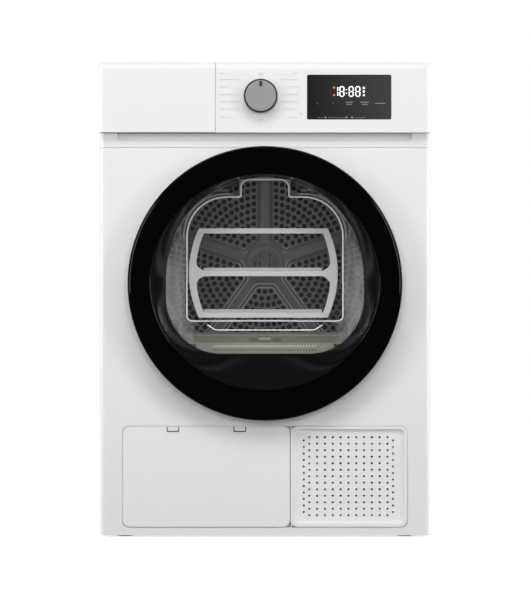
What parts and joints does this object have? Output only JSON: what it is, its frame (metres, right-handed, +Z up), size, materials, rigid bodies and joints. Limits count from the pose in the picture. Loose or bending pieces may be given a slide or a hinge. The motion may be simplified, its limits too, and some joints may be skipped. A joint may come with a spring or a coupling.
{
  "type": "tumble dryer",
  "caption": "Front-loading heat pump tumble dryer with a round glass-bowl door, a rotary program knob, touch display, water tank drawer and service flap.",
  "frame": {"origin": "on the floor, below the middle of the bounding box", "axes": "+X to the right seen from the front, +Y to the back, +Z up; the door faces -Y"},
  "size_m": [0.592, 0.61, 0.85],
  "materials": {
    "white_paint": "satin white enamel",
    "white_plastic": "fine grained white plastic",
    "black_gloss": "high gloss black",
    "black_plastic": "satin black",
    "knob_metal": "radially brushed, dark rim",
    "clear_bowl": "clear",
    "grey_guard": "satin light grey",
    "tank_plastic": "translucent milky",
    "grey_plastic": "moulded grey",
    "filter_plastic": "olive grey with woven mesh",
    "drum_steel": "satin",
    "bright_steel": "bright",
    "zinc_sheet": "zinc coated",
    "black_rubber": "matt",
    "felt": "pressed felt",
    "bearing_bronze": "sintered",
    "dark_iron": "black enamel",
    "fin_aluminium": "thin fins",
    "circuit_board": "green laminate"
  },
  "bodies": {
    "cabinet": {"base_tray": "grey_plastic", "side_panels": "white_paint", "rear_panel": "zinc_sheet", "rear_duct_cover": "zinc_sheet", "top_panel": "white_paint", "front_panel": "white_paint", "plinth_grille": "white_plastic", "control_panel": "white_plastic", "display_window": "black_gloss", "control_board": "circuit_board", "tank_sleeve": "grey_plastic", "hinge_bracket": "bright_steel", "hinge_pin": "bright_steel", "door_latch": "black_plastic", "front_bulkhead": "grey_plastic", "felt_seals": "felt", "shaft_bearing": "bearing_bronze", "motor_body": "dark_iron", "drive_belt": "black_rubber", "blower_housing": "grey_plastic", "compressor": "dark_iron", "heat_exchangers": "fin_aluminium", "exchanger_housing": "grey_plastic", "fan_housing": "grey_plastic", "drain_pump": "grey_plastic", "access_cover": "grey_plastic", "rear_feet": "black_rubber", "screws": "bright_steel"},
    "door": {"door_ring": "black_gloss", "door_funnel": "black_plastic", "door_bowl": "clear_bowl", "bowl_guard": "grey_guard", "door_seal": "black_rubber", "hinge_leaf": "bright_steel", "latch_hook": "bright_steel"},
    "knob": {"program_knob": "knob_metal"},
    "key_1": {"key_1": "black_gloss"},
    "key_2": {"key_2": "black_gloss"},
    "key_3": {"key_3": "black_gloss"},
    "key_4": {"key_4": "black_gloss"},
    "key_5": {"key_5": "black_gloss"},
    "tank": {"tank_front": "white_plastic", "water_tank": "tank_plastic"},
    "drum": {"drum_shell": "drum_steel", "drum_back": "drum_steel", "drum_lifters": "grey_plastic", "drum_shaft": "bright_steel"},
    "roller_left": {"support_roller_left": "black_rubber"},
    "roller_right": {"support_roller_right": "black_rubber"},
    "filter": {"lint_filter": "filter_plastic"},
    "motor_rotor": {"motor_shaft": "bright_steel", "blower_wheel": "grey_plastic"},
    "idler": {"idler_arm": "bright_steel"},
    "idler_roll": {"idler_wheel": "black_rubber"},
    "fan": {"cooling_fan": "grey_plastic"},
    "flap": {"service_flap": "white_plastic"},
    "catch_left": {"flap_catch_left": "white_plastic"},
    "catch_right": {"flap_catch_right": "white_plastic"},
    "foot_left": {"front_left_foot": "black_rubber"},
    "foot_right": {"front_right_foot": "black_rubber"}
  },
  "joints": [
    {"name": "door_swing", "type": "hinge", "parent": "cabinet", "child": "door", "pos_m": [-0.232, -0.284, 0.455], "axis": [0, 0, -1], "range_deg": [0, 120]},
    {"name": "tank_pull", "type": "slide", "parent": "cabinet", "child": "tank", "axis": [0, -1, 0], "range_m": [0, 0.42]},
    {"name": "knob_turn", "type": "hinge", "parent": "cabinet", "child": "knob", "pos_m": [-0.0075, -0.29, 0.7884], "axis": [0, -1, 0], "continuous": true},
    {"name": "key_1_press", "type": "slide", "parent": "cabinet", "child": "key_1", "axis": [0, 1, 0], "range_m": [0, 0.001], "stiffness_N_per_m": 800, "springref_m": -0.001},
    {"name": "key_2_press", "type": "slide", "parent": "cabinet", "child": "key_2", "axis": [0, 1, 0], "range_m": [0, 0.001], "stiffness_N_per_m": 800, "springref_m": -0.001},
    {"name": "key_3_press", "type": "slide", "parent": "cabinet", "child": "key_3", "axis": [0, 1, 0], "range_m": [0, 0.001], "stiffness_N_per_m": 800, "springref_m": -0.001},
    {"name": "key_4_press", "type": "slide", "parent": "cabinet", "child": "key_4", "axis": [0, 1, 0], "range_m": [0, 0.001], "stiffness_N_per_m": 800, "springref_m": -0.001},
    {"name": "key_5_press", "type": "slide", "parent": "cabinet", "child": "key_5", "axis": [0, 1, 0], "range_m": [0, 0.001], "stiffness_N_per_m": 800, "springref_m": -0.001},
    {"name": "drum_spin", "type": "hinge", "parent": "cabinet", "child": "drum", "pos_m": [0, 0, 0.49], "axis": [0, -1, 0], "continuous": true},
    {"name": "roller_left_spin", "type": "hinge", "parent": "cabinet", "child": "roller_left", "pos_m": [-0.16939, -0.17, 0.2481], "axis": [0, -1, 0], "continuous": true},
    {"name": "roller_right_spin", "type": "hinge", "parent": "cabinet", "child": "roller_right", "pos_m": [0.16939, -0.17, 0.2481], "axis": [0, -1, 0], "continuous": true},
    {"name": "filter_lift", "type": "slide", "parent": "cabinet", "child": "filter", "axis": [0, 0, 1], "range_m": [0, 0.125]},
    {"name": "motor_spin", "type": "hinge", "parent": "cabinet", "child": "motor_rotor", "pos_m": [0.172, 0.15, 0.132], "axis": [0, -1, 0], "continuous": true},
    {"name": "idler_swing", "type": "hinge", "parent": "cabinet", "child": "idler", "pos_m": [0.11, 0.085, 0.04], "axis": [0, -1, 0], "range_deg": [0, 10], "stiffness_Nm_per_rad": 2, "springref_deg": -17.19},
    {"name": "idler_spin", "type": "hinge", "parent": "idler", "child": "idler_roll", "pos_m": [0.05937, 0.08, 0.14928], "axis": [0, -1, 0], "continuous": true},
    {"name": "fan_spin", "type": "hinge", "parent": "cabinet", "child": "fan", "pos_m": [0.16, -0.22, 0.108], "axis": [0, -1, 0], "continuous": true},
    {"name": "flap_tilt", "type": "hinge", "parent": "cabinet", "child": "flap", "pos_m": [-0.1054, -0.2586, 0.0309], "axis": [1, 0, 0], "range_deg": [0, 90]},
    {"name": "catch_left_press", "type": "slide", "parent": "flap", "child": "catch_left", "axis": [0, 0, -1], "range_m": [0, 0.003], "stiffness_N_per_m": 500, "springref_m": -0.002},
    {"name": "catch_right_press", "type": "slide", "parent": "flap", "child": "catch_right", "axis": [0, 0, -1], "range_m": [0, 0.003], "stiffness_N_per_m": 500, "springref_m": -0.002},
    {"name": "foot_left_screw", "type": "slide", "parent": "cabinet", "child": "foot_left", "axis": [0, 0, -1], "range_m": [0, 0.015]},
    {"name": "foot_right_screw", "type": "slide", "parent": "cabinet", "child": "foot_right", "axis": [0, 0, -1], "range_m": [0, 0.015]}
  ],
  "couplings": [
    {"joint": "roller_left_spin", "follows": "drum_spin", "ratio": -13.75},
    {"joint": "roller_right_spin", "follows": "drum_spin", "ratio": -13.75},
    {"joint": "motor_spin", "follows": "drum_spin", "ratio": 42.385},
    {"joint": "idler_spin", "follows": "drum_spin", "ratio": -17.375}
  ]
}
